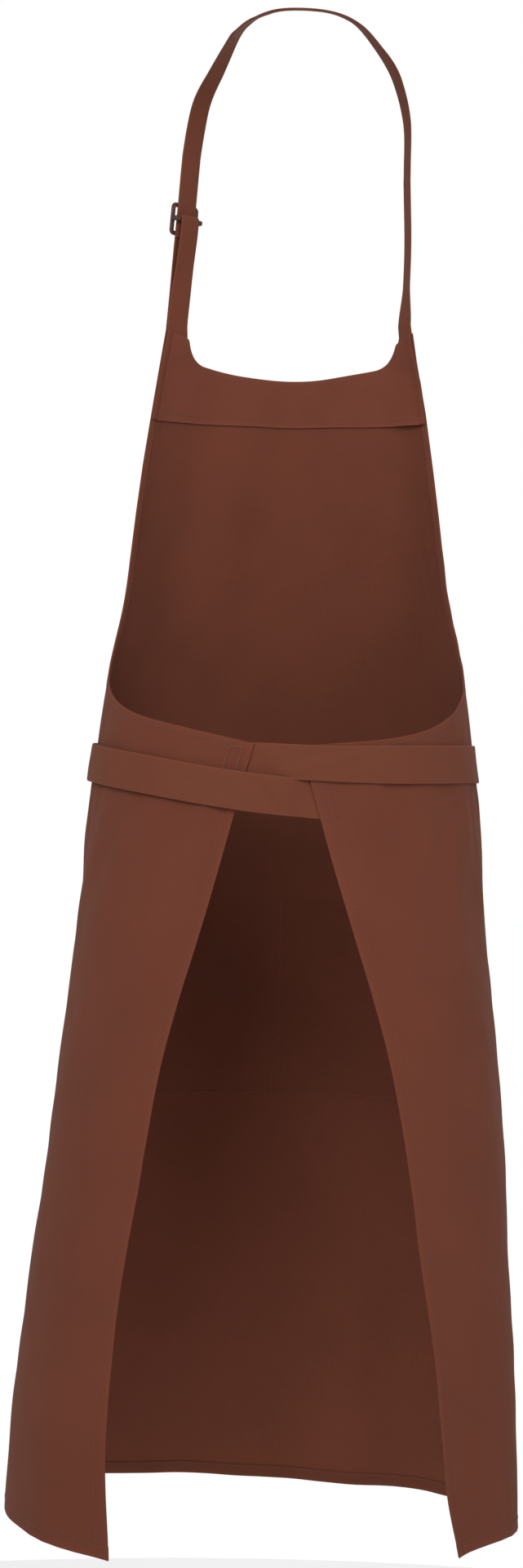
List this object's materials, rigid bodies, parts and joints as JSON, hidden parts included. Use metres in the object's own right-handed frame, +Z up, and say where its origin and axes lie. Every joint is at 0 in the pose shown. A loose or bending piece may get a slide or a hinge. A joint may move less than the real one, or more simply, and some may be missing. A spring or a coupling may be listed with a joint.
{
  "type": "welding apron",
  "caption": "Bib apron of brown woven cloth with a front pocket, an adjustable neck strap with a plastic slider, and waist ties that cross at the back and are tied in a bow in front.",
  "frame": {"origin": "under the crest of the neck strap, where it hangs on the neck", "axes": "+Z up, +Y to the front of the wearer, +X to the wearer's right"},
  "size_m": [0.4075, 0.246, 1.2084],
  "materials": {
    "apron_cloth": "matte woven cloth, reddish brown",
    "facing_cloth": "matte woven cloth, reddish brown, inner side",
    "strap_cloth": "matte woven cloth, folded and sewn into straps",
    "thread": "spun sewing thread, reddish brown",
    "slider_plastic": "moulded plastic with a soft sheen"
  },
  "bodies": {
    "neck_strap": {"neck_strap": "strap_cloth", "neck_strap_right_leg": "strap_cloth"},
    "apron": {"apron_panel": "apron_cloth", "bib_facing": "facing_cloth", "front_pocket": "apron_cloth", "strap_slider": "slider_plastic", "slider_strap": "strap_cloth", "waist_tie_left": "strap_cloth", "waist_tie_right": "strap_cloth", "tie_knot": "strap_cloth", "bow_loop_left": "strap_cloth", "bow_loop_right": "strap_cloth", "armhole_thread_right": "thread", "armhole_thread_left": "thread", "neckline_thread": "thread", "side_hem_thread_right": "thread", "side_hem_thread_left": "thread", "bottom_hem_thread": "thread", "facing_thread": "thread", "pocket_divider_thread": "thread", "pocket_thread": "thread", "tie_box_thread_left": "thread", "tie_box_thread_right": "thread"},
    "tie_end_left": {"tie_end_left": "strap_cloth"},
    "tie_end_right": {"tie_end_right": "strap_cloth"}
  },
  "joints": [
    {"name": "neck_adjust", "type": "slide", "parent": "neck_strap", "child": "apron", "axis": [0.0755, 0, 0.9971], "range_m": [-0.06, 0.016], "deforming": ["neck_strap_right_leg"]},
    {"name": "tie_end_left_swing", "type": "hinge", "parent": "apron", "child": "tie_end_left", "pos_m": [-0.005, 0.166, -0.6055], "axis": [0, 1, 0], "range_deg": [-20, 20]},
    {"name": "tie_end_right_swing", "type": "hinge", "parent": "apron", "child": "tie_end_right", "pos_m": [0.005, 0.169, -0.6055], "axis": [0, 1, 0], "range_deg": [-20, 20]}
  ]
}
